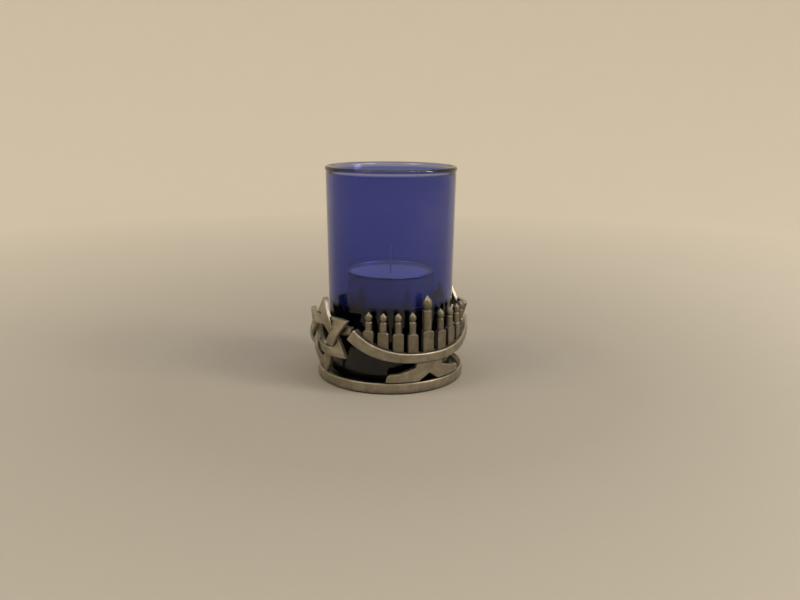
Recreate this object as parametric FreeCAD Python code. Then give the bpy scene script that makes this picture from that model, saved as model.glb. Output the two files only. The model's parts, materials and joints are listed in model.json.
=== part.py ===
import FreeCAD
import Part
import math
import os

# A votive cup of cobalt glass in an openwork pewter holder, with a tealight inside.
# Millimetres. +Z is up and the origin is the middle of the flat underside of the holder.
# Azimuth is in degrees about +Z, from -Y (the front) towards +X (the right).

# ---- Driving dimensions -------------------------------------------------------------------------
OVERALL_HEIGHT = 90.0

# Base ring: a rounded band with a flat inner ledge that carries the glass.
RING_RADIUS = 31.8
RING_HEIGHT = 4.75
RING_WALL = 2.2
RING_EDGE_ROUND = 0.7
RING_CREST_WIDTH = 0.3
RING_INNER_SHOULDER = 3.4
RING_FOOT_CHAMFER = 0.4
LEDGE_RADIUS = 20.0
LEDGE_THICKNESS = 1.8

# Pewter wall: its outer face bulges like a barrel between the ring and the tops of the stars.
WALL_BELLY_RADIUS = 34.6
WALL_BELLY_HEIGHT = 22.5
WALL_CURVATURE = 0.00875
WALL_THICKNESS = 2.2

# Radius at which lengths along the wall are turned into azimuths.
UNROLL_RADIUS = 34.0

# Stars: two interlaced triangles, drawn on the unrolled wall about the star's own middle line.
STAR_AZIMUTH = -57.0
STAR_UP_HALF_WIDTH = 15.3
STAR_DOWN_HALF_WIDTH = 16.2
STAR_LIMB = 4.2
STAR_UP_APEX = 40.6
STAR_UP_FOOT = 14.2
STAR_DOWN_HEAD = 30.2
STAR_DOWN_APEX = 4.5
STAR_TOP_CUT = 37.0
STAR_WEAVE = 0.85
STAR_BEVEL = 0.45
STAR_LIMB_STEPS = 8

# Menorah: a curved arm on a splayed foot, with eight candles and a taller one in the middle.
# The back has a plain arm on the same foot, and its lower edge hangs further down in the middle.
MENORAH_AZIMUTH = 30.0
ARM_HALF_SPAN = 61.2
ARM_BOTTOM = 13.1
ARM_FACE = 4.25
ARM_RISE = 8.7
ARM_RISE_SPAN = 60.0
ARM_RISE_POWER = 2.85
ARM_FLARE = 1.2
ARM_INSET = 0.8
ARM_INNER_RADIUS = 29.7
ARM_BEVEL = 0.45
ARM_STEPS = 16
BACK_ARM_DROP = 6.5
BACK_ARM_FULLNESS = 6
TONGUE_OUTER_RADIUS = 32.1
TONGUE_SPANS = (-69.0, 76.0)
TONGUE_HALF_HEIGHT = 1.7
TONGUE_LIFT = 1.9
TONGUE_LAP = 2.5
TONGUE_STEPS = 3

# Foot: angles are from its middle. A leg's upper edge is (degrees in from its tip, height above
# the ring) from the tip to the stem.
FOOT_OFFSET = 1.5
FOOT_HALF_SPREAD = 34.0
FOOT_LEG_EDGE = [(0, 1.6), (1.2, 3.1), (3.2, 3.6), (9.5, 4.0), (17.5, 5.3), (22.4, 6.3)]
FOOT_STEM_HALF = 11.0
FOOT_STEM_LAP = 0.5
FOOT_ARCH_HALF = 8.6
FOOT_ARCH_HEIGHT = 3.2
FOOT_SETBACK = 0.2
FOOT_FLARE = 0.09
FOOT_BEVEL = 0.35

# Nine square sockets on the arm, each with a round candle and its flame.
CANDLE_OUTER_RADIUS = 32.3
CANDLE_FIRST_STEP = 12.3
CANDLE_STEP = 11.1
CANDLES_PER_SIDE = 4
SOCKET_WIDTH = 4.6
SOCKET_DEPTH = 2.1
SOCKET_TOP = 25.3
SOCKET_TOP_STEP = 0.5
SOCKET_SHOULDER = 0.7
SOCKET_EDGE = 0.35
SOCKET_SINK = 1.5
SOCKET_INNER_SIDE = 4.0
STICK_RADIUS = 1.55
NECK_HEIGHT = 0.4
NECK_SHARE = 0.68
FLAME_BELLY_SHARE = 0.36
FLAME_BELLY_WIDTH = 1.04
FLAME_SHOULDER_SHARE = 0.70
FLAME_SHOULDER_WIDTH = 0.80
FLAME_BASE = 30.4
FLAME_TOP = 34.2
SHAMASH_SCALE = 1.3
SHAMASH_SOCKET_WIDTH = 5.3
SHAMASH_SOCKET_TOP = 26.0
SHAMASH_FLAME_BASE = 34.7
SHAMASH_FLAME_TOP = 40.6

# Glass cup: a slightly tapered wall, a rolled rim and a thick solid bottom.
GLASS_RIM_RADIUS = 27.8
GLASS_BEAD_RADIUS = 1.05
GLASS_TOP_RADIUS = 27.4
GLASS_FOOT_RADIUS = 26.25
GLASS_HEEL_ROUND = 2.0
GLASS_BORE_TOP = 24.95
GLASS_BORE_FLOOR = 24.5
GLASS_FLOOR_HEIGHT = 31.5
GLASS_FLOOR_ROUND = 2.5
GLASS_PUNT = 0.8
GLASS_PUNT_RADIUS = 22.5
GLASS_PUNT_SLOPE = 2.0

# Tealight: an aluminium cup, its wax, the wick and the wick's sheet-metal tab.
TEALIGHT_RADIUS = 19.0
TEALIGHT_HEIGHT = 14.7
TEALIGHT_SKIN = 0.4
TEALIGHT_LIP = 0.45
TEALIGHT_CORNER = 1.0
WAX_GAP = 0.05
WAX_DROP = 1.6
WICK_RADIUS = 0.4
WICK_EXPOSED = 12.0
TAB_RADIUS = 6.0
TAB_THICKNESS = 0.3
TAB_SLEEVE_RADIUS = 1.4
TAB_SLEEVE_HEIGHT = 4.5

FULL_TURN = 360.0
HALF_TURN = 180.0
SINE_45 = math.sin(math.radians(45))
AXIS = FreeCAD.Vector(0, 0, 1)
CENTRE = FreeCAD.Vector(0, 0, 0)


# ---- Helpers ------------------------------------------------------------------------------------
def polygon(points):
    """A closed wire through the points."""
    return Part.makePolygon(points + [points[0]])


def profile_point(radius, height):
    """A point of a profile to be turned about the Z axis."""
    return FreeCAD.Vector(radius, 0, height)


def line(start, end):
    """A straight edge between two profile points."""
    return Part.LineSegment(profile_point(*start), profile_point(*end)).toShape()


def arc(start, through, end):
    """An arc through three profile points."""
    return Part.Arc(profile_point(*start), profile_point(*through), profile_point(*end)).toShape()


def turned(edges):
    """The solid made by turning a closed profile about the Z axis."""
    return Part.Face(Part.Wire(edges)).revolve(CENTRE, AXIS, FULL_TURN)


def half_turn(shape):
    """The same shape on the opposite side of the holder."""
    return shape.rotated(CENTRE, AXIS, HALF_TURN)


def wall_radius(height):
    """Outer radius of the barrel-shaped wall at a height."""
    return WALL_BELLY_RADIUS - WALL_CURVATURE * (height - WALL_BELLY_HEIGHT) ** 2


def mixed(first, second, share):
    """The point that lies the given share of the way from first to second."""
    return tuple(a + (b - a) * share for a, b in zip(first, second))


def spread(start, end, steps):
    """Evenly spaced values from start to end."""
    return [start + (end - start) * index / steps for index in range(steps + 1)]


def strap_section(lower, upper, inner_radius, outer_radius, bevel):
    """Flat section of a strap on the wall, between two (azimuth, height) edges, bevelled outside.

    inner_radius and outer_radius are functions of height.
    """
    middle = math.radians((lower[0] + upper[0]) / 2)
    outward = FreeCAD.Vector(math.sin(middle), -math.cos(middle), 0)
    along = FreeCAD.Vector(math.cos(middle), math.sin(middle), 0)

    def corner(edge, radius, drop):
        offset = (math.radians(edge[0]) - middle) * UNROLL_RADIUS
        return outward * (radius(edge[1]) - drop) + along * offset + AXIS * edge[1]

    width = math.hypot(upper[1] - lower[1], math.radians(upper[0] - lower[0]) * UNROLL_RADIUS)
    low_in = mixed(lower, upper, bevel / width)
    high_in = mixed(upper, lower, bevel / width)
    return polygon([
        corner(lower, inner_radius, 0),
        corner(upper, inner_radius, 0),
        corner(upper, outer_radius, bevel),
        corner(high_in, outer_radius, 0),
        corner(low_in, outer_radius, 0),
        corner(lower, outer_radius, bevel),
    ])


def joined(shapes):
    """One solid from pieces that share faces or overlap."""
    whole = shapes[0].fuse(shapes[1:])
    return whole.removeSplitter()


# ---- Base ring ----------------------------------------------------------------------------------
def base_ring():
    """The band, rounded outside and sloped inside its crest, with the ledge at its foot."""
    soft = RING_EDGE_ROUND
    lean = soft * SINE_45
    inner = RING_RADIUS - RING_WALL
    crest_outer = RING_RADIUS - soft
    crest_inner = crest_outer - RING_CREST_WIDTH
    round_start = RING_HEIGHT - soft
    chamfer = RING_FOOT_CHAMFER
    return turned([
        line((LEDGE_RADIUS, 0), (RING_RADIUS - chamfer, 0)),
        line((RING_RADIUS - chamfer, 0), (RING_RADIUS, chamfer)),
        line((RING_RADIUS, chamfer), (RING_RADIUS, round_start)),
        arc((RING_RADIUS, round_start), (crest_outer + lean, round_start + lean),
            (crest_outer, RING_HEIGHT)),
        line((crest_outer, RING_HEIGHT), (crest_inner, RING_HEIGHT)),
        line((crest_inner, RING_HEIGHT), (inner, RING_INNER_SHOULDER)),
        line((inner, RING_INNER_SHOULDER), (inner, LEDGE_THICKNESS)),
        line((inner, LEDGE_THICKNESS), (LEDGE_RADIUS, LEDGE_THICKNESS)),
        line((LEDGE_RADIUS, LEDGE_THICKNESS), (LEDGE_RADIUS, 0)),
    ])


# ---- Stars --------------------------------------------------------------------------------------
def inset_corners(corners, inset):
    """Corners of a triangle whose sides lie inside the given triangle by the inset."""
    result = []
    count = len(corners)
    for index in range(count):
        before = corners[index - 1]
        here = corners[index]
        after = corners[(index + 1) % count]
        to_before = (before[0] - here[0], before[1] - here[1])
        to_after = (after[0] - here[0], after[1] - here[1])
        length_before = math.hypot(*to_before)
        length_after = math.hypot(*to_after)
        unit_before = (to_before[0] / length_before, to_before[1] / length_before)
        unit_after = (to_after[0] / length_after, to_after[1] / length_after)
        cross = abs(unit_before[0] * unit_after[1] - unit_before[1] * unit_after[0])
        reach = inset / cross
        result.append((here[0] + reach * (unit_before[0] + unit_after[0]),
                       here[1] + reach * (unit_before[1] + unit_after[1])))
    return result


def star_point(point):
    """(azimuth, height) of a point drawn on the star's unrolled sheet."""
    return (STAR_AZIMUTH + math.degrees(point[0] / UNROLL_RADIUS), point[1])


def star_limb(outer_ends, inner_ends):
    """One straight side of a triangle, which rises over one crossing and dips under the next."""
    sections = []
    for share in spread(0, 1, STAR_LIMB_STEPS):
        weave = STAR_WEAVE * math.sin(math.radians(FULL_TURN * share))

        def outer(height, lift=weave):
            return wall_radius(height) + lift

        def inner(height, lift=weave):
            return wall_radius(height) + lift - WALL_THICKNESS

        edge_out = star_point(mixed(outer_ends[0], outer_ends[1], share))
        edge_in = star_point(mixed(inner_ends[0], inner_ends[1], share))
        sections.append(strap_section(edge_out, edge_in, inner, outer, STAR_BEVEL))
    return Part.makeLoft(sections, True, False)


def star_triangle(corners):
    """Three limbs that share their mitred ends."""
    insides = inset_corners(corners, STAR_LIMB)
    limbs = []
    for index in range(len(corners)):
        following = (index + 1) % len(corners)
        limbs.append(star_limb((corners[index], corners[following]),
                               (insides[index], insides[following])))
    return joined(limbs)


def upright_triangle():
    """The triangle that points up, with its apex cut off flat."""
    whole = star_triangle([(0, STAR_UP_APEX), (STAR_UP_HALF_WIDTH, STAR_UP_FOOT),
                           (-STAR_UP_HALF_WIDTH, STAR_UP_FOOT)])
    reach = 2 * WALL_BELLY_RADIUS
    above = Part.makeBox(2 * reach, 2 * reach, OVERALL_HEIGHT,
                         FreeCAD.Vector(-reach, -reach, STAR_TOP_CUT))
    return whole.cut(above)


def inverted_triangle():
    """The triangle that points down and stands on the base ring."""
    return star_triangle([(-STAR_DOWN_HALF_WIDTH, STAR_DOWN_HEAD),
                          (STAR_DOWN_HALF_WIDTH, STAR_DOWN_HEAD), (0, STAR_DOWN_APEX)])


# ---- Menorah ------------------------------------------------------------------------------------
def arm_bottom(offset):
    """Height of the arm's lower edge, at an azimuth offset from the menorah's middle."""
    return ARM_BOTTOM + ARM_RISE * (abs(offset) / ARM_RISE_SPAN) ** ARM_RISE_POWER


def arm_slope(offset):
    """Angle of the arm's lower edge on the unrolled wall, in radians."""
    step = 0.5
    rise = arm_bottom(offset + step) - arm_bottom(offset - step)
    return math.atan2(rise, math.radians(2 * step) * UNROLL_RADIUS)


def arm_centre(offset):
    """(azimuth offset, height, half height) of the arm's middle line."""
    half = (ARM_FACE + ARM_FLARE * (abs(offset) / ARM_HALF_SPAN) ** 2) / 2
    slope = arm_slope(offset)
    shift = -math.degrees(half * math.sin(slope) / UNROLL_RADIUS)
    return (offset + shift, arm_bottom(offset) + half * math.cos(slope), half)


def arm_section(offset, drop, inner, outer):
    """Section square to the arm's run, with its lower edge dropped by the given height."""
    middle, height, half = arm_centre(offset)
    slope = arm_slope(offset)
    lean = math.degrees(half * math.sin(slope) / UNROLL_RADIUS)
    rise = half * math.cos(slope)
    azimuth = MENORAH_AZIMUTH + middle
    return strap_section((azimuth + lean, height - rise - drop), (azimuth - lean, height + rise),
                         inner, outer, ARM_BEVEL)


def menorah_arm(drop):
    """The arm, with a thin tongue at each end that runs behind the neighbouring star.

    drop is how much lower its lower edge hangs in the middle.
    """
    def inner(height):
        return ARM_INNER_RADIUS

    def outer(height):
        return wall_radius(height) - ARM_INSET

    def tongue_outer(height):
        return TONGUE_OUTER_RADIUS

    sections = []
    for offset in spread(-ARM_HALF_SPAN, ARM_HALF_SPAN, ARM_STEPS):
        hang = drop * (1 - (offset / ARM_HALF_SPAN) ** BACK_ARM_FULLNESS)
        sections.append(arm_section(offset, hang, inner, outer))
    pieces = [Part.makeLoft(sections, True, False)]
    for end in TONGUE_SPANS:
        start = math.copysign(ARM_HALF_SPAN - TONGUE_LAP, end)
        height = arm_centre(start)[1] + TONGUE_LIFT
        sections = []
        for offset in spread(start, end, TONGUE_STEPS):
            azimuth = MENORAH_AZIMUTH + offset
            sections.append(strap_section((azimuth, height - TONGUE_HALF_HEIGHT),
                                          (azimuth, height + TONGUE_HALF_HEIGHT),
                                          inner, tongue_outer, ARM_BEVEL))
        pieces.append(Part.makeLoft(sections, True, False))
    return joined(pieces)


def menorah_foot():
    """A short stem that splays into two legs, arched underneath, standing on the base ring."""
    def outer(height):
        return RING_RADIUS - FOOT_SETBACK + FOOT_FLARE * (height - RING_HEIGHT)

    def inner(height):
        return RING_RADIUS - RING_WALL

    low = RING_HEIGHT
    arch = low + FOOT_ARCH_HEIGHT
    stem_top = ARM_BOTTOM + FOOT_STEM_LAP
    half_outline = [(FOOT_HALF_SPREAD - inset, low, low + rise) for inset, rise in FOOT_LEG_EDGE]
    half_outline.append((FOOT_STEM_HALF, low, stem_top))
    half_outline.append((FOOT_ARCH_HALF, low, stem_top))
    half_outline.append((FOOT_ARCH_HALF / 2, (low + arch) / 2, stem_top))
    outline = [(-offset, bottom, top) for offset, bottom, top in half_outline]
    outline.append((0, arch, stem_top))
    outline.extend(reversed(half_outline))
    sections = []
    for offset, bottom, top in outline:
        azimuth = MENORAH_AZIMUTH + FOOT_OFFSET + offset
        sections.append(strap_section((azimuth, bottom), (azimuth, top), inner, outer, FOOT_BEVEL))
    return Part.makeLoft(sections, True, True)


def socket(azimuth, base, width, top):
    """A square socket with sloped shoulders and bevelled front edges, on the arm."""
    half = width / 2
    shoulder = top - SOCKET_SHOULDER
    edge = SOCKET_EDGE
    outline = [(-half, base), (half, base), (half, shoulder), (half - SOCKET_SHOULDER, top),
               (SOCKET_SHOULDER - half, top), (-half, shoulder)]

    def layer(inset, radius):
        points = [FreeCAD.Vector(x - math.copysign(inset, x), -radius, z) for x, z in outline]
        return polygon(points)

    body = Part.makeLoft([layer(0, CANDLE_OUTER_RADIUS - SOCKET_DEPTH),
                          layer(0, CANDLE_OUTER_RADIUS - edge)], True, True)
    front = Part.makeLoft([layer(0, CANDLE_OUTER_RADIUS - edge),
                           layer(edge, CANDLE_OUTER_RADIUS)], True, True)
    return joined([body, front]).rotated(CENTRE, AXIS, azimuth)


def candle(azimuth, base, scale, flame_base, flame_top):
    """A round candle with a necked, teardrop flame, standing on its socket."""
    radius = STICK_RADIUS * scale
    neck = radius * NECK_SHARE
    flame = flame_top - flame_base
    belly_height = flame_base + FLAME_BELLY_SHARE * flame
    shoulder_radius = radius * FLAME_SHOULDER_WIDTH
    shoulder_height = flame_base + FLAME_SHOULDER_SHARE * flame
    stick = turned([
        line((0, base), (radius, base)),
        line((radius, base), (radius, flame_base - NECK_HEIGHT)),
        line((radius, flame_base - NECK_HEIGHT), (neck, flame_base)),
        arc((neck, flame_base), (radius * FLAME_BELLY_WIDTH, belly_height),
            (shoulder_radius, shoulder_height)),
        line((shoulder_radius, shoulder_height), (0, flame_top)),
        line((0, flame_top), (0, base)),
    ])
    stick.translate(FreeCAD.Vector(0, radius - CANDLE_OUTER_RADIUS, 0))
    return stick.rotated(CENTRE, AXIS, azimuth)


def candle_places():
    """Azimuth offsets of the eight ordinary candles from the middle, with their step outwards."""
    places = []
    for side in (-1, 1):
        for step in range(CANDLES_PER_SIDE):
            places.append((side * (CANDLE_FIRST_STEP + step * CANDLE_STEP), step))
    return sorted(places)


def candle_row(arm):
    """Eight candles and the shamash with their sockets, each socket cut to sit on the arm."""
    pieces = {}
    for number, (offset, step) in enumerate(candle_places(), start=1):
        azimuth = MENORAH_AZIMUTH + offset
        base = arm_bottom(abs(offset) - SOCKET_INNER_SIDE) + ARM_FACE - SOCKET_SINK
        top = SOCKET_TOP + SOCKET_TOP_STEP * step
        pieces["socket_%d" % number] = socket(azimuth, base, SOCKET_WIDTH, top).cut(arm)
        pieces["candle_%d" % number] = candle(azimuth, top, 1.0, FLAME_BASE, FLAME_TOP)
    base = ARM_BOTTOM + ARM_FACE - SOCKET_SINK
    pieces["shamash_socket"] = socket(MENORAH_AZIMUTH, base, SHAMASH_SOCKET_WIDTH,
                                      SHAMASH_SOCKET_TOP).cut(arm)
    pieces["shamash"] = candle(MENORAH_AZIMUTH, SHAMASH_SOCKET_TOP, SHAMASH_SCALE,
                               SHAMASH_FLAME_BASE, SHAMASH_FLAME_TOP)
    return pieces


# ---- Glass and tealight -------------------------------------------------------------------------
def glass_cup():
    """The tapered cup, turned in one piece."""
    bottom = LEDGE_THICKNESS
    bead = GLASS_BEAD_RADIUS
    bead_radius = GLASS_RIM_RADIUS - bead
    bead_height = OVERALL_HEIGHT - bead
    bead_start = bead_height - math.sqrt(bead ** 2 - (GLASS_TOP_RADIUS - bead_radius) ** 2)
    heel = GLASS_HEEL_ROUND
    corner = 1 - SINE_45
    lip = bead_radius - GLASS_BORE_TOP
    lip_height = OVERALL_HEIGHT - lip
    floor = GLASS_FLOOR_HEIGHT
    soft = GLASS_FLOOR_ROUND
    return turned([
        line((0, bottom + GLASS_PUNT), (GLASS_PUNT_RADIUS - GLASS_PUNT_SLOPE, bottom + GLASS_PUNT)),
        line((GLASS_PUNT_RADIUS - GLASS_PUNT_SLOPE, bottom + GLASS_PUNT), (GLASS_PUNT_RADIUS, bottom)),
        line((GLASS_PUNT_RADIUS, bottom), (GLASS_FOOT_RADIUS - heel, bottom)),
        arc((GLASS_FOOT_RADIUS - heel, bottom),
            (GLASS_FOOT_RADIUS - heel * corner, bottom + heel * corner),
            (GLASS_FOOT_RADIUS, bottom + heel)),
        line((GLASS_FOOT_RADIUS, bottom + heel), (GLASS_TOP_RADIUS, bead_start)),
        arc((GLASS_TOP_RADIUS, bead_start), (GLASS_RIM_RADIUS, bead_height),
            (bead_radius, OVERALL_HEIGHT)),
        arc((bead_radius, OVERALL_HEIGHT),
            (bead_radius - lip * SINE_45, lip_height + lip * SINE_45),
            (GLASS_BORE_TOP, lip_height)),
        line((GLASS_BORE_TOP, lip_height), (GLASS_BORE_FLOOR, floor + soft)),
        arc((GLASS_BORE_FLOOR, floor + soft),
            (GLASS_BORE_FLOOR - soft * corner, floor + soft * corner),
            (GLASS_BORE_FLOOR - soft, floor)),
        line((GLASS_BORE_FLOOR - soft, floor), (0, floor)),
        line((0, floor), (0, bottom + GLASS_PUNT)),
    ])


def tealight_cup():
    """A thin drawn cup with a rolled lip."""
    floor = GLASS_FLOOR_HEIGHT
    top = floor + TEALIGHT_HEIGHT
    skin = TEALIGHT_SKIN
    lip = TEALIGHT_LIP
    corner = TEALIGHT_CORNER
    shell = TEALIGHT_RADIUS - lip
    bore = shell - skin
    return turned([
        line((0, floor), (shell - corner, floor)),
        line((shell - corner, floor), (shell, floor + corner)),
        line((shell, floor + corner), (shell, top - 2 * lip)),
        arc((shell, top - 2 * lip), (TEALIGHT_RADIUS, top - lip), (shell, top)),
        line((shell, top), (bore, top)),
        line((bore, top), (bore, floor + skin + corner)),
        line((bore, floor + skin + corner), (bore - corner, floor + skin)),
        line((bore - corner, floor + skin), (0, floor + skin)),
        line((0, floor + skin), (0, floor)),
    ])


def tealight_insides():
    """Wick tab, wick and wax, which fit round each other."""
    floor = GLASS_FLOOR_HEIGHT + TEALIGHT_SKIN
    wax_radius = TEALIGHT_RADIUS - TEALIGHT_LIP - TEALIGHT_SKIN - WAX_GAP
    wax_top = GLASS_FLOOR_HEIGHT + TEALIGHT_HEIGHT - WAX_DROP
    plate = Part.makeCylinder(TAB_RADIUS, TAB_THICKNESS, FreeCAD.Vector(0, 0, floor))
    sleeve = Part.makeCylinder(TAB_SLEEVE_RADIUS, TAB_SLEEVE_HEIGHT, FreeCAD.Vector(0, 0, floor))
    wick = Part.makeCylinder(WICK_RADIUS, wax_top + WICK_EXPOSED - floor,
                             FreeCAD.Vector(0, 0, floor))
    tab = joined([plate, sleeve]).cut(wick)
    block = turned([
        line((0, floor), (wax_radius - TEALIGHT_CORNER, floor)),
        line((wax_radius - TEALIGHT_CORNER, floor), (wax_radius, floor + TEALIGHT_CORNER)),
        line((wax_radius, floor + TEALIGHT_CORNER), (wax_radius, wax_top)),
        line((wax_radius, wax_top), (0, wax_top)),
        line((0, wax_top), (0, floor)),
    ])
    wax = block.cut(tab).cut(wick)
    return {"wax": wax, "wick": wick, "wick_tab": tab}


# ---- Assembly -----------------------------------------------------------------------------------
def pewter_holder():
    """Every pewter piece. The second star is a half-turn copy, and so is the back foot."""
    ring = base_ring()
    inverted = inverted_triangle().cut(ring)
    upright = upright_triangle().cut(inverted)
    front_arm = menorah_arm(0)
    back_arm = menorah_arm(BACK_ARM_DROP)
    for star_piece in (upright, inverted, half_turn(upright), half_turn(inverted)):
        front_arm = front_arm.cut(star_piece)
        back_arm = back_arm.cut(star_piece)
    foot = menorah_foot().cut(ring)
    pieces = {
        "base_ring": ring,
        "left_star_upright": upright,
        "left_star_inverted": inverted,
        "right_star_upright": half_turn(upright),
        "right_star_inverted": half_turn(inverted),
        "front_arm": front_arm,
        "front_foot": foot.cut(front_arm),
        "back_arm": half_turn(back_arm),
        "back_foot": half_turn(foot.cut(back_arm)),
    }
    pieces.update(candle_row(front_arm))
    return pieces


def build():
    nodes = pewter_holder()
    nodes["glass_cup"] = glass_cup()
    nodes["tealight_cup"] = tealight_cup()
    nodes.update(tealight_insides())
    return nodes


os.makedirs("parts", exist_ok=True)
for node, shape in build().items():
    print("%-28s valid %s  solids %d  volume %.1f" % (
        node, shape.isValid(), len(shape.Solids), shape.Volume))
    shape.exportStep("parts/%s.step" % node)
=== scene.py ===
"""A cobalt glass votive in a cast pewter holder, with a tealight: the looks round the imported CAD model.

Metres. +Z is up and the origin is the middle of the holder's underside. Azimuth is in degrees from the
front (-Y) towards the right (+X).
"""
import json
import math

import bmesh
import bpy
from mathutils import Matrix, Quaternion, Vector, noise


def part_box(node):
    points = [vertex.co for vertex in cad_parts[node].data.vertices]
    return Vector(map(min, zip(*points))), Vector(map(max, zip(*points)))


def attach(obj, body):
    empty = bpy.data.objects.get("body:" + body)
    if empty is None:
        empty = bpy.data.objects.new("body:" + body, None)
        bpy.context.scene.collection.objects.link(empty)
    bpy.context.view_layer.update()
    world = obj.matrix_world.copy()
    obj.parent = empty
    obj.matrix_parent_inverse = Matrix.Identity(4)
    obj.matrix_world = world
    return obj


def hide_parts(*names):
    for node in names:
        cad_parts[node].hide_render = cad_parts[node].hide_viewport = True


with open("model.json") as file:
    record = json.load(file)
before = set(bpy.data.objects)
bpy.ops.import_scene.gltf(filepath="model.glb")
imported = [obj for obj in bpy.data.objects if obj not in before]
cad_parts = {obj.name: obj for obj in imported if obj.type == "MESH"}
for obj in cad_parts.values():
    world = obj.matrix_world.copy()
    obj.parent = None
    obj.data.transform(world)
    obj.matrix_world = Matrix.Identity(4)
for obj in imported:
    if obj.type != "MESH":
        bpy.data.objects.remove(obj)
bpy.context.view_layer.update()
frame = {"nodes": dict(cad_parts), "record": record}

MM = 0.001

# ---- Camera: a 35 mm lens, a third of a metre away, looking slightly down ------------------------
SENSOR_WIDTH = 36.0
LENS = 34.7265
NEAREST_SEEN = 10 * MM
CAMERA_PLACE = (4.19 * MM, -327.2 * MM, 112.2 * MM)
CAMERA_PITCH = 13.77
CAMERA_ROLL = 0.453


def make_camera():
    data = bpy.data.cameras.new("camera")
    data.sensor_width = SENSOR_WIDTH
    data.lens = LENS
    data.clip_start = NEAREST_SEEN
    camera = bpy.data.objects.new("camera", data)
    camera.rotation_mode = "QUATERNION"
    level = Quaternion((1, 0, 0), math.radians(90 - CAMERA_PITCH))
    camera.rotation_quaternion = level @ Quaternion((0, 0, 1), math.radians(CAMERA_ROLL))
    camera.location = CAMERA_PLACE
    bpy.context.scene.collection.objects.link(camera)
    bpy.context.scene.camera = camera


# ---- Mesh helpers ---------------------------------------------------------------------------------
def mesh_object(name, mesh):
    piece = bpy.data.objects.new(name, mesh)
    bpy.context.scene.collection.objects.link(piece)
    return piece


def finished(piece, body, material, node):
    """Gives a piece its material, its body and the CAD node that it stands for."""
    piece.data.materials.clear()
    piece.data.materials.append(material)
    for polygon in piece.data.polygons:
        polygon.use_smooth = True
    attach(piece, body)
    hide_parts(node)
    return piece


def apply_modifiers(piece):
    """Replaces the piece's mesh by the one its modifiers make."""
    depsgraph = bpy.context.evaluated_depsgraph_get()
    mesh = bpy.data.meshes.new_from_object(piece.evaluated_get(depsgraph))
    piece.modifiers.clear()
    old = piece.data
    piece.data = mesh
    bpy.data.meshes.remove(old)


AXIS_RADIUS = 1e-7


def lathe(name, profile, segments, shape=None):
    """A surface turned about Z from (radius, height) points, closed where the radius is zero.

    shape(azimuth in radians, radius, height) gives a changed (radius, height).
    """
    mesh = bpy.data.meshes.new(name)
    work = bmesh.new()
    rings = []
    for radius, height in profile:
        if radius < AXIS_RADIUS:
            rings.append([work.verts.new((0, 0, height))])
            continue
        ring = []
        for index in range(segments):
            angle = 2 * math.pi * index / segments
            r, z = shape(angle, radius, height) if shape else (radius, height)
            ring.append(work.verts.new((r * math.sin(angle), -r * math.cos(angle), z)))
        rings.append(ring)
    for low, high in zip(rings, rings[1:]):
        count = max(len(low), len(high))
        for index in range(count):
            after = (index + 1) % count
            corners = [low[index % len(low)], low[after % len(low)],
                       high[after % len(high)], high[index % len(high)]]
            work.faces.new(list(dict.fromkeys(corners)))
    bmesh.ops.recalc_face_normals(work, faces=work.faces)
    work.to_mesh(mesh)
    work.free()
    return mesh_object(name, mesh)


def straight(start, end, steps):
    """Points along a line, without the last one."""
    return [tuple(a + (b - a) * index / steps for a, b in zip(start, end))
            for index in range(steps)]


def rounded(centre, radius, first, last, steps):
    """Points along an arc, from one angle in degrees to another, without the last one."""
    points = []
    for index in range(steps):
        angle = math.radians(first + (last - first) * index / steps)
        points.append((centre[0] + radius * math.cos(angle), centre[1] + radius * math.sin(angle)))
    return points


# ---- Node helpers ---------------------------------------------------------------------------------
class Nodes:
    """A material being built: add() makes a node and sets its inputs, by value or by link."""

    def __init__(self, name):
        self.material = bpy.data.materials.new(name)
        self.material.use_nodes = True
        self.tree = self.material.node_tree
        self.tree.nodes.clear()

    def add(self, kind, inputs=None, **settings):
        node = self.tree.nodes.new(kind)
        for key, value in settings.items():
            setattr(node, key, value)
        for key, value in (inputs or {}).items():
            if isinstance(value, bpy.types.NodeSocket):
                self.tree.links.new(value, node.inputs[key])
            else:
                node.inputs[key].default_value = value
        return node

    def noise(self, vector, scale, detail=2.0, roughness=0.5, distortion=0.0):
        node = self.add("ShaderNodeTexNoise", {"Vector": vector, "Scale": scale, "Detail": detail,
                                               "Roughness": roughness, "Distortion": distortion})
        return node.outputs["Fac"]

    def ramp(self, value, low, high, to_low=0.0, to_high=1.0):
        node = self.add("ShaderNodeMapRange", {"Value": value, "From Min": low, "From Max": high,
                                               "To Min": to_low, "To Max": to_high})
        return node.outputs["Result"]

    def math(self, operation, first, second=0.0):
        node = self.add("ShaderNodeMath", {0: first, 1: second}, operation=operation)
        return node.outputs[0]

    def mix(self, share, first, second):
        node = self.add("ShaderNodeMix", {"Factor": share, "A": first, "B": second},
                        data_type="RGBA")
        return node.outputs["Result"]

    def bump(self, height, strength, distance, normal=None):
        inputs = {"Height": height, "Strength": strength, "Distance": distance}
        if normal is not None:
            inputs["Normal"] = normal
        return self.add("ShaderNodeBump", inputs).outputs["Normal"]

    def finish(self, surface, volume=None):
        output = self.add("ShaderNodeOutputMaterial", {"Surface": surface})
        if volume is not None:
            self.tree.links.new(volume, output.inputs["Volume"])
        return self.material


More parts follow.
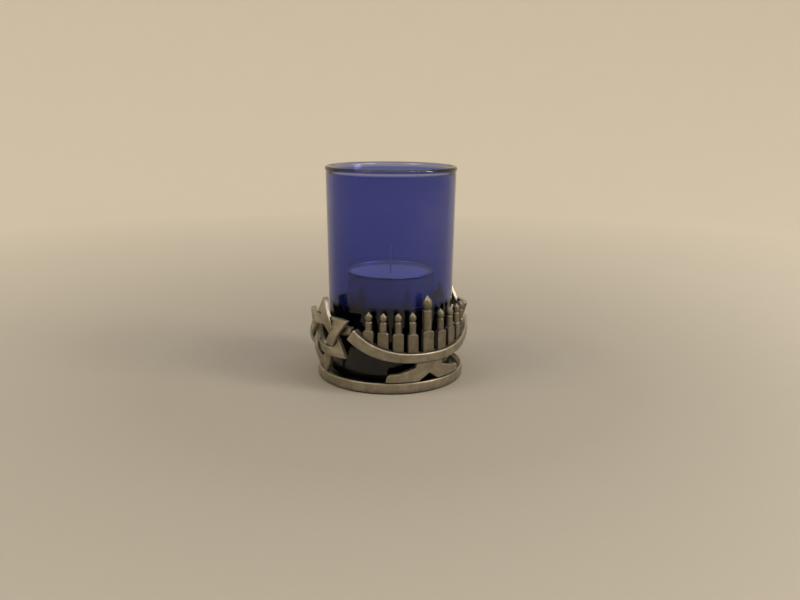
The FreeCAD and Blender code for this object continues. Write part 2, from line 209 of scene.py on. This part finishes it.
# ---- Materials ------------------------------------------------------------------------------------
# Colours are linear (red, green, blue, 1). Noise scales are in waves to a metre.
AO_SAMPLES = 8
PEWTER_RECESS = 2.4 * MM
PEWTER_EDGE = 0.35 * MM
# Painted shade with patina: the dark colour that recesses and gaps between parts are darkened to.
PEWTER_SHADE_AND_PATINA = (0.030, 0.027, 0.023, 1)
PEWTER_RUBBED = (0.74, 0.71, 0.64, 1)
PEWTER_GRAIN = 5200
PEWTER_GRAIN_DEPTH = 0.05 * MM
PEWTER_DIMPLES = 900
PEWTER_DIMPLE_DEPTH = 0.12 * MM
PEWTER_BLOTCHES = 260
# Painted light: above this height the glass takes a lighter tint, standing for the sky reflected in the
# rolled rim.
RIM_LIGHT_START = 87.7 * MM
RIM_LIGHT_BLEND = 0.5 * MM
GLASS_TINT = (0.295, 0.365, 0.82, 1)
GLASS_RIM_PAINTED_LIGHT = (0.72, 0.74, 0.92, 1)
GLASS_SHADOW_TINT = (0.55, 0.56, 0.66, 1)
GLASS_ABSORPTION = (0.13, 0.21, 0.62, 1)
GLASS_DENSITY = 300.0
GLASS_IOR = 1.52
GLASS_SPECULAR = 0.38
ALUMINIUM_TONES = ((0.65, 0.635, 0.585, 1), (0.71, 0.695, 0.64, 1))
ALUMINIUM_MARKS = 2600
ALUMINIUM_MARK_DEPTH = 0.03 * MM
WAX_TONES = ((0.77, 0.69, 0.54, 1), (0.84, 0.76, 0.61, 1))
WAX_MOTTLE = 420
WAX_MOTTLE_DEPTH = 0.15 * MM
WAX_SCATTER = 0.8 * MM
WICK_TONES = ((0.50, 0.48, 0.44, 1), (0.66, 0.64, 0.60, 1))
WICK_FIBRES = 9000
WICK_FIBRE_DEPTH = 0.04 * MM
TAB_TONES = ((0.52, 0.52, 0.53, 1), (0.70, 0.70, 0.70, 1))
TAB_MARKS = 5000
TAB_MARK_DEPTH = 0.02 * MM
# Painted shade: the cloth is this darker colour near the middle, under the object.
CLOTH_PAINTED_SHADE = (0.36, 0.33, 0.28, 1)
CLOTH_FAR = (0.80, 0.745, 0.645, 1)
CLOTH_SHADE_RADIUS = 0.1


def pewter_material(name, dark, light, edge_start, edge_full):
    """Cast pewter between two tones: fine satin grain, rubbed edges, painted shade and patina in
    recesses.

    edge_start and edge_full are how solid the metal is, looking inwards, where an edge begins to be
    bright and where it is brightest.
    """
    n = Nodes(name)
    place = n.add("ShaderNodeTexCoord").outputs["Object"]
    grain = n.noise(place, PEWTER_GRAIN, 3, 0.65)
    blotch = n.noise(place, PEWTER_BLOTCHES, 4, 0.6, 0.4)
    # Painted shade: ambient occlusion darkens recesses, creases and gaps between parts to the dark
    # colour, standing for shade together with patina.
    recess = n.add("ShaderNodeAmbientOcclusion", {"Distance": PEWTER_RECESS}, samples=AO_SAMPLES)
    solid = n.add("ShaderNodeAmbientOcclusion", {"Distance": PEWTER_EDGE},
                  samples=AO_SAMPLES, inside=True)
    edge = n.ramp(solid.outputs["AO"], edge_start, edge_full)
    exposed = n.ramp(recess.outputs["AO"], 0.45, 0.97)
    shade_patina_blotch_mask = n.math("MULTIPLY", exposed, n.ramp(blotch, 0.25, 0.75, 0.82, 1.0))
    metal = n.mix(n.ramp(blotch, 0.3, 0.7), dark, light)
    rubbed = n.mix(edge, metal, PEWTER_RUBBED)
    colour = n.mix(shade_patina_blotch_mask, PEWTER_SHADE_AND_PATINA, rubbed)
    rough = n.ramp(grain, 0.3, 0.7, 0.30, 0.46)
    rough = n.math("SUBTRACT", rough, n.math("MULTIPLY", edge, 0.14))
    normal = n.bump(grain, 0.25, PEWTER_GRAIN_DEPTH)
    dimples = n.noise(place, PEWTER_DIMPLES, 2, 0.5)
    normal = n.bump(dimples, 0.25, PEWTER_DIMPLE_DEPTH, normal)
    shader = n.add("ShaderNodeBsdfPrincipled", {
        "Base Color": colour, "Metallic": n.ramp(shade_patina_blotch_mask, 0.0, 1.0, 0.3, 0.88),
        "Roughness": rough, "Normal": normal})
    return n.finish(shader.outputs[0])


def glass_material():
    """Cobalt glass: it takes up light along its depth, so its thick bottom looks black.

    The rolled rim gets a lighter tint, painted light for the sky reflected in its bead,
    and lamps shine through with a grey-blue shadow.
    """
    n = Nodes("cobalt_glass")
    height = n.add("ShaderNodeSeparateXYZ", {0: n.add("ShaderNodeTexCoord").outputs["Object"]})
    # Painted light: the rim band is mixed to a lighter tint, standing for the sky reflected in its bead.
    rim = n.ramp(height.outputs["Z"], RIM_LIGHT_START, RIM_LIGHT_START + RIM_LIGHT_BLEND)
    tint_and_rim_light = n.mix(rim, GLASS_TINT, GLASS_RIM_PAINTED_LIGHT)
    body = n.add("ShaderNodeBsdfPrincipled", {
        "Base Color": tint_and_rim_light, "Roughness": 0.0, "IOR": GLASS_IOR,
        "Transmission Weight": 1.0, "Specular IOR Level": GLASS_SPECULAR})
    clear = n.add("ShaderNodeBsdfTransparent", {"Color": GLASS_SHADOW_TINT})
    shadow = n.add("ShaderNodeLightPath").outputs["Is Shadow Ray"]
    surface = n.add("ShaderNodeMixShader", {0: shadow, 1: body.outputs[0], 2: clear.outputs[0]})
    inside = n.add("ShaderNodeVolumeAbsorption", {"Color": GLASS_ABSORPTION,
                                                  "Density": GLASS_DENSITY})
    return n.finish(surface.outputs[0], inside.outputs[0])


def aluminium_material():
    """Thin drawn aluminium, with faint upright drawing marks."""
    n = Nodes("tealight_aluminium")
    place = n.add("ShaderNodeTexCoord").outputs["Object"]
    stretched = n.add("ShaderNodeMapping", {"Vector": place, "Scale": (1, 1, 0.05)}).outputs[0]
    marks = n.noise(stretched, ALUMINIUM_MARKS, 3, 0.6)
    colour = n.mix(n.ramp(marks, 0.3, 0.7), *ALUMINIUM_TONES)
    shader = n.add("ShaderNodeBsdfPrincipled", {
        "Base Color": colour, "Metallic": 1.0, "Roughness": n.ramp(marks, 0.3, 0.7, 0.28, 0.36),
        "Normal": n.bump(marks, 0.2, ALUMINIUM_MARK_DEPTH)})
    return n.finish(shader.outputs[0])


def wax_material():
    """Cream-white paraffin wax, faintly mottled, with light scattered just under its surface."""
    n = Nodes("wax")
    place = n.add("ShaderNodeTexCoord").outputs["Object"]
    mottle = n.noise(place, WAX_MOTTLE, 4, 0.6, 0.5)
    colour = n.mix(n.ramp(mottle, 0.3, 0.7), *WAX_TONES)
    shader = n.add("ShaderNodeBsdfPrincipled", {
        "Base Color": colour, "Roughness": n.ramp(mottle, 0.3, 0.7, 0.30, 0.48),
        "Subsurface Weight": 0.6, "Subsurface Radius": (1.0, 0.85, 0.7),
        "Subsurface Scale": WAX_SCATTER, "Normal": n.bump(mottle, 0.3, WAX_MOTTLE_DEPTH)})
    return n.finish(shader.outputs[0])


def wick_material():
    """Waxed cotton, with fine fibres."""
    n = Nodes("wick")
    place = n.add("ShaderNodeTexCoord").outputs["Object"]
    fibres = n.noise(place, WICK_FIBRES, 3, 0.7)
    colour = n.mix(n.ramp(fibres, 0.3, 0.7), *WICK_TONES)
    shader = n.add("ShaderNodeBsdfPrincipled", {
        "Base Color": colour, "Roughness": 0.65, "Sheen Weight": 0.2,
        "Normal": n.bump(fibres, 0.5, WICK_FIBRE_DEPTH)})
    return n.finish(shader.outputs[0])


def tab_material():
    """Thin tinned sheet steel with rolling marks."""
    n = Nodes("tab_steel")
    place = n.add("ShaderNodeTexCoord").outputs["Object"]
    stretched = n.add("ShaderNodeMapping", {"Vector": place, "Scale": (0.06, 1, 1)}).outputs[0]
    marks = n.noise(stretched, TAB_MARKS, 2, 0.6)
    colour = n.mix(marks, *TAB_TONES)
    shader = n.add("ShaderNodeBsdfPrincipled", {
        "Base Color": colour, "Metallic": 1.0, "Roughness": n.ramp(marks, 0.3, 0.7, 0.25, 0.45),
        "Normal": n.bump(marks, 0.15, TAB_MARK_DEPTH)})
    return n.finish(shader.outputs[0])


def cloth_material():
    """The pale studio floor and walls: off-white cloth, with painted shade making it greyer under the
    object.
    """
    n = Nodes("studio_cloth")
    place = n.add("ShaderNodeTexCoord").outputs["Object"]
    away = n.add("ShaderNodeVectorMath", {0: place}, operation="LENGTH").outputs["Value"]
    # Painted shade: the cloth greys towards the middle, under the object.
    colour = n.mix(n.ramp(away, CLOTH_SHADE_RADIUS, FLOOR_RADIUS), CLOTH_PAINTED_SHADE, CLOTH_FAR)
    shader = n.add("ShaderNodeBsdfPrincipled", {"Base Color": colour, "Roughness": 0.85})
    return n.finish(shader.outputs[0])


# ---- Pewter holder: each CAD solid cast anew, with soft edges and a hand-finished surface ----------
FINE_VOXEL = 0.11 * MM
CAST_VOXEL = 0.17 * MM
FINE_SMOOTHING = 2
CAST_SMOOTHING = 5
CAST_UNEVENNESS = 0.07 * MM
CAST_WAVES = 3.2 * MM
CAST_SHRINK = 0.07 * MM
MERGE_DISTANCE = 0.001 * MM
PLAIN_TONES = ((0.29, 0.255, 0.19, 1), (0.43, 0.385, 0.295, 1))
PLAIN_EDGE = (0.80, 0.50)
# A darker copy of the same pewter, used for the candles and their sockets.
DARKER_TONES = ((0.17, 0.147, 0.108, 1), (0.27, 0.238, 0.175, 1))
DARKER_EDGE = (0.86, 0.60)


def cast_piece(node, voxel, smoothing, material):
    """A closed, evenly meshed copy of a CAD solid, with rounded edges and slightly uneven faces.

    Its surface only moves inwards, so a dark line parts it from its neighbours.
    """
    piece = mesh_object("cast_" + node, frame["nodes"][node].data.copy())
    work = bmesh.new()
    work.from_mesh(piece.data)
    bmesh.ops.remove_doubles(work, verts=work.verts, dist=MERGE_DISTANCE)
    work.to_mesh(piece.data)
    work.free()
    remesh = piece.modifiers.new("remesh", "REMESH")
    remesh.mode = "VOXEL"
    remesh.voxel_size = voxel
    smooth = piece.modifiers.new("smooth", "SMOOTH")
    smooth.factor = 0.5
    smooth.iterations = smoothing
    apply_modifiers(piece)
    places = [vertex.co.copy() for vertex in piece.data.vertices]
    normals = [vertex.normal.copy() for vertex in piece.data.vertices]
    moved = []
    for place, normal in zip(places, normals):
        lift = CAST_UNEVENNESS * noise.fractal(place / CAST_WAVES, 1.0, 2.0, 3) - CAST_SHRINK
        moved.extend(place + normal * min(0, lift))
    piece.data.vertices.foreach_set("co", moved)
    piece.data.update()
    return finished(piece, "holder", material, node)


def make_holder():
    """Every pewter piece: the candles and their sockets are meshed finer, and their metal is darker."""
    plain = pewter_material("pewter", *PLAIN_TONES, *PLAIN_EDGE)
    darker_pewter = pewter_material("pewter_darker", *DARKER_TONES, *DARKER_EDGE)
    for node in frame["record"]["behaviour"]["bodies"]["holder"]:
        small = node.startswith(("candle", "socket", "shamash"))
        if small:
            cast_piece(node, FINE_VOXEL, FINE_SMOOTHING, darker_pewter)
        else:
            cast_piece(node, CAST_VOXEL, CAST_SMOOTHING, plain)


# ---- Glass cup --------------------------------------------------------------------------------------
GLASS_SEGMENTS = 160
RIM_RADIUS = 27.8 * MM
RIM_BEAD = 1.05 * MM
WALL_TOP_RADIUS = 27.4 * MM
WALL_FOOT_RADIUS = 26.25 * MM
HEEL_ROUND = 2.0 * MM
BORE_TOP_RADIUS = 24.95 * MM
BORE_FLOOR_RADIUS = 24.5 * MM
FLOOR_ROUND = 2.5 * MM
PUNT_DEPTH = 0.8 * MM
PUNT_RADIUS = 22.5 * MM
PUNT_SLOPE = 2.0 * MM
CLEARANCE = 0.02 * MM
WALL_RIPPLE = 0.04 * MM


def make_glass():
    """The cup: blown wall with faint upright ripples, rolled rim and thick bottom."""
    low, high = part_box("glass_cup")
    foot = low.z + CLEARANCE
    top = high.z
    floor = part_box("tealight_cup")[0].z - CLEARANCE
    bead_centre = (RIM_RADIUS - RIM_BEAD, top - RIM_BEAD)
    bead_start = -math.degrees(math.acos((WALL_TOP_RADIUS - bead_centre[0]) / RIM_BEAD))
    lip = bead_centre[0] - BORE_TOP_RADIUS
    profile = [(0, foot + PUNT_DEPTH)]
    profile += straight((3 * MM, foot + PUNT_DEPTH), (PUNT_RADIUS - PUNT_SLOPE, foot + PUNT_DEPTH), 6)
    profile += straight((PUNT_RADIUS - PUNT_SLOPE, foot + PUNT_DEPTH), (PUNT_RADIUS, foot), 4)
    profile += straight((PUNT_RADIUS, foot), (WALL_FOOT_RADIUS - HEEL_ROUND, foot), 3)
    profile += rounded((WALL_FOOT_RADIUS - HEEL_ROUND, foot + HEEL_ROUND), HEEL_ROUND, -90, 0, 10)
    profile += straight((WALL_FOOT_RADIUS, foot + HEEL_ROUND),
                        (WALL_TOP_RADIUS, bead_centre[1] - RIM_BEAD * 0.8), 48)
    profile += rounded(bead_centre, RIM_BEAD, bead_start, 90, 14)
    profile += rounded((bead_centre[0], top - lip), lip, 90, 180, 10)
    profile += straight((BORE_TOP_RADIUS, top - lip), (BORE_FLOOR_RADIUS, floor + FLOOR_ROUND), 40)
    profile += rounded((BORE_FLOOR_RADIUS - FLOOR_ROUND, floor + FLOOR_ROUND), FLOOR_ROUND, 0, -90, 10)
    profile += straight((BORE_FLOOR_RADIUS - FLOOR_ROUND, floor), (0, floor), 8)
    profile.append((0, floor))

    def ripple(angle, radius, height):
        wall = min(1, max(0, (radius - 0.85 * WALL_FOOT_RADIUS) / (0.08 * WALL_FOOT_RADIUS)))
        along = Vector((math.sin(angle) * 5, math.cos(angle) * 5, height / (60 * MM)))
        return radius + WALL_RIPPLE * wall * (noise.noise(along) - 0.5), height

    piece = lathe("glass", profile, GLASS_SEGMENTS, ripple)
    finished(piece, "glass", glass_material(), "glass_cup")


# ---- Tealight ---------------------------------------------------------------------------------------
# The wax's level lies under the top of its CAD solid, which it reaches at the cup's wall and the wick.
TEALIGHT_SEGMENTS = 144
TEALIGHT_SKIN = 0.35 * MM
TEALIGHT_CORNER = 1.1 * MM
TEALIGHT_LIP = 0.42 * MM
DENT_AZIMUTH = math.radians(14)
DENT_WIDTH = math.radians(9)
DENT_DEPTH = 0.5 * MM
TEALIGHT_WAVE = 0.05 * MM
WAX_GAP = 0.02 * MM
WAX_LEVEL_DROP = 0.45 * MM
WAX_CLIMB = 0.40 * MM
WAX_WALL_REACH = 0.7 * MM
WAX_WICK_REACH = 1.0 * MM
WAX_TOP_STEPS = 40
WAX_WAVE = 0.05 * MM
WAX_WAVE_LENGTH = 5 * MM
WAX_WAVE_MARGIN = 2 * MM
WICK_STRANDS = 3
WICK_STRAND_SHARE = 0.52
WICK_TURNS = 9
WICK_RINGS = 150
WICK_SIDES = 10
WICK_TIP_SHARE = 0.015
WICK_TIP_CLOSING = 0.35


def make_tealight():
    """The aluminium cup: a drawn shell with a rounded foot and a rolled lip."""
    low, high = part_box("tealight_cup")
    outer = high.x - TEALIGHT_LIP
    inner = outer - TEALIGHT_SKIN
    floor = low.z
    corner = TEALIGHT_CORNER
    lip_centre = (outer, high.z - TEALIGHT_LIP)

    def dented(angle, radius, height):
        """The thin cup isn't quite round, and its lip has one small dent."""
        share = (height - low.z) / (high.z - low.z)
        away = math.atan2(math.sin(angle - DENT_AZIMUTH), math.cos(angle - DENT_AZIMUTH))
        dent = DENT_DEPTH * math.exp(-(away / DENT_WIDTH) ** 2) * share ** 6
        wave = noise.noise(Vector((math.sin(angle) * 3, math.cos(angle) * 3, share)))
        return radius - dent + TEALIGHT_WAVE * wave * share, height - 0.6 * dent

    profile = [(0, floor)]
    profile += straight((2 * MM, floor), (outer - corner, floor), 8)
    profile += rounded((outer - corner, floor + corner), corner, -90, 0, 8)
    profile += straight((outer, floor + corner), (outer, lip_centre[1] - TEALIGHT_LIP), 24)
    profile += rounded(lip_centre, TEALIGHT_LIP, -70, 150, 14)
    profile += straight((inner, lip_centre[1]), (inner, floor + TEALIGHT_SKIN + corner), 24)
    profile += rounded((inner - corner, floor + TEALIGHT_SKIN + corner), corner, 0, -90, 8)
    profile += straight((inner - corner, floor + TEALIGHT_SKIN), (2 * MM, floor + TEALIGHT_SKIN), 8)
    profile.append((0, floor + TEALIGHT_SKIN))
    piece = lathe("tealight_shell", profile, TEALIGHT_SEGMENTS, dented)
    finished(piece, "tealight", aluminium_material(), "tealight_cup")


def make_wax():
    """The wax: it climbs a little at the cup's wall and round the wick."""
    low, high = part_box("wax")
    radius = high.x - WAX_GAP
    top = high.z - WAX_LEVEL_DROP
    edge = TEALIGHT_CORNER
    profile = [(0, low.z)]
    profile += straight((2 * MM, low.z), (radius - edge, low.z), 6)
    profile += rounded((radius - edge, low.z + edge), edge, -90, 0, 6)
    profile += straight((radius, low.z + edge), (radius, high.z - 0.1 * MM), 10)
    for index in range(WAX_TOP_STEPS):
        r = radius * (1 - index / WAX_TOP_STEPS)
        at_wall = WAX_CLIMB * math.exp((r - radius) / WAX_WALL_REACH)
        at_wick = WAX_CLIMB * math.exp(-r / WAX_WICK_REACH)
        profile.append((r, top + at_wall + at_wick))
    profile.append((0, top + WAX_CLIMB))

    def uneven(angle, r, z):
        if z < top - 0.1 * MM:
            return r, z
        wave = noise.noise(Vector((r * math.sin(angle), r * math.cos(angle), 0)) / WAX_WAVE_LENGTH)
        from_wick = min(1, r / WAX_WAVE_MARGIN)
        from_wall = min(1, (radius - r) / WAX_WAVE_MARGIN)
        return r, z + WAX_WAVE * wave * from_wick * from_wall

    piece = lathe("wax_block", profile, TEALIGHT_SEGMENTS, uneven)
    finished(piece, "candle", wax_material(), "wax")


def wick_ring(work, centre, radius):
    """One horizontal ring of a strand's corners."""
    ring = []
    for side in range(WICK_SIDES):
        angle = 2 * math.pi * side / WICK_SIDES
        ring.append(work.verts.new(centre + radius * Vector((math.sin(angle), math.cos(angle), 0))))
    return ring


def make_wick():
    """Three strands of waxed cotton twisted together, in one mesh."""
    low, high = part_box("wick")
    strand = high.x * WICK_STRAND_SHARE
    orbit = high.x - strand
    mesh = bpy.data.meshes.new("wick_braid")
    work = bmesh.new()
    for number in range(WICK_STRANDS):
        previous = None
        for index in range(WICK_RINGS + 1):
            share = index / WICK_RINGS
            angle = 2 * math.pi * (WICK_TURNS * share + number / WICK_STRANDS)
            z = low.z + (high.z - low.z) * share
            centre = Vector((orbit * math.sin(angle), orbit * math.cos(angle), z))
            tip = max(0, share - 1 + WICK_TIP_SHARE) / WICK_TIP_SHARE
            ring = wick_ring(work, centre, strand * (1 - WICK_TIP_CLOSING * tip))
            if previous is None:
                work.faces.new(ring)
            else:
                for side in range(WICK_SIDES):
                    after = (side + 1) % WICK_SIDES
                    work.faces.new([previous[side], previous[after], ring[after], ring[side]])
            previous = ring
        work.faces.new(previous)
    bmesh.ops.recalc_face_normals(work, faces=work.faces)
    work.to_mesh(mesh)
    work.free()
    piece = mesh_object("wick_braid", mesh)
    finished(piece, "candle", wick_material(), "wick")


def dress_tab():
    """The tab keeps its CAD shape and gets its material."""
    node = frame["nodes"]["wick_tab"]
    node.material_slots[0].material = tab_material()


# ---- Studio -----------------------------------------------------------------------------------------
FLOOR_RADIUS = 0.55
COVE_RADIUS = 0.35
WALL_HEIGHT = 1.3


def make_studio():
    """A round floor that curves up into a pale wall all the way round, open at the top."""
    profile = [(0, 0)]
    profile += straight((0.05, 0), (FLOOR_RADIUS, 0), 12)
    profile += rounded((FLOOR_RADIUS, COVE_RADIUS), COVE_RADIUS, -90, 0, 16)
    profile += straight((FLOOR_RADIUS + COVE_RADIUS, COVE_RADIUS),
                        (FLOOR_RADIUS + COVE_RADIUS, WALL_HEIGHT), 6)
    studio = lathe("studio", profile, 96)
    for polygon in studio.data.polygons:
        polygon.use_smooth = True
    studio.data.materials.append(cloth_material())


def area_light(name, place, target, size, energy, colour):
    """A rectangular lamp at a place, facing a target, with its energy in watts."""
    data = bpy.data.lights.new(name, "AREA")
    data.shape = "RECTANGLE"
    data.size, data.size_y = size
    data.energy = energy
    data.color = colour
    lamp = bpy.data.objects.new(name, data)
    lamp.location = place
    lamp.rotation_mode = "QUATERNION"
    lamp.rotation_quaternion = (Vector(target) - Vector(place)).to_track_quat("-Z", "Y")
    bpy.context.scene.collection.objects.link(lamp)


WORLD_COLOUR = (1.0, 0.95, 0.87, 1)
WORLD_STRENGTH = 0.76
LIT_POINT = (0, 0, 30 * MM)


def make_lights():
    """An even warm sky, a soft panel high on each side, and a small lower one on the right."""
    world = bpy.data.worlds.new("studio_light")
    world.use_nodes = True
    sky = world.node_tree.nodes["Background"]
    sky.inputs["Color"].default_value = WORLD_COLOUR
    sky.inputs["Strength"].default_value = WORLD_STRENGTH
    bpy.context.scene.world = world
    area_light("left_panel", (-0.35, -0.15, 0.65), LIT_POINT, (0.24, 0.20), 1.1, (1, 0.95, 0.88))
    area_light("right_panel", (0.35, -0.15, 0.65), LIT_POINT, (0.24, 0.20), 1.1, (1, 0.95, 0.88))
    area_light("side_panel", (0.50, -0.16, 0.38), LIT_POINT, (0.16, 0.16), 1.05, (1, 0.96, 0.90))


make_camera()
make_studio()
make_lights()
make_holder()
make_glass()
make_tealight()
make_wax()
make_wick()
dress_tab()

bpy.context.scene.view_settings.view_transform = "Standard"
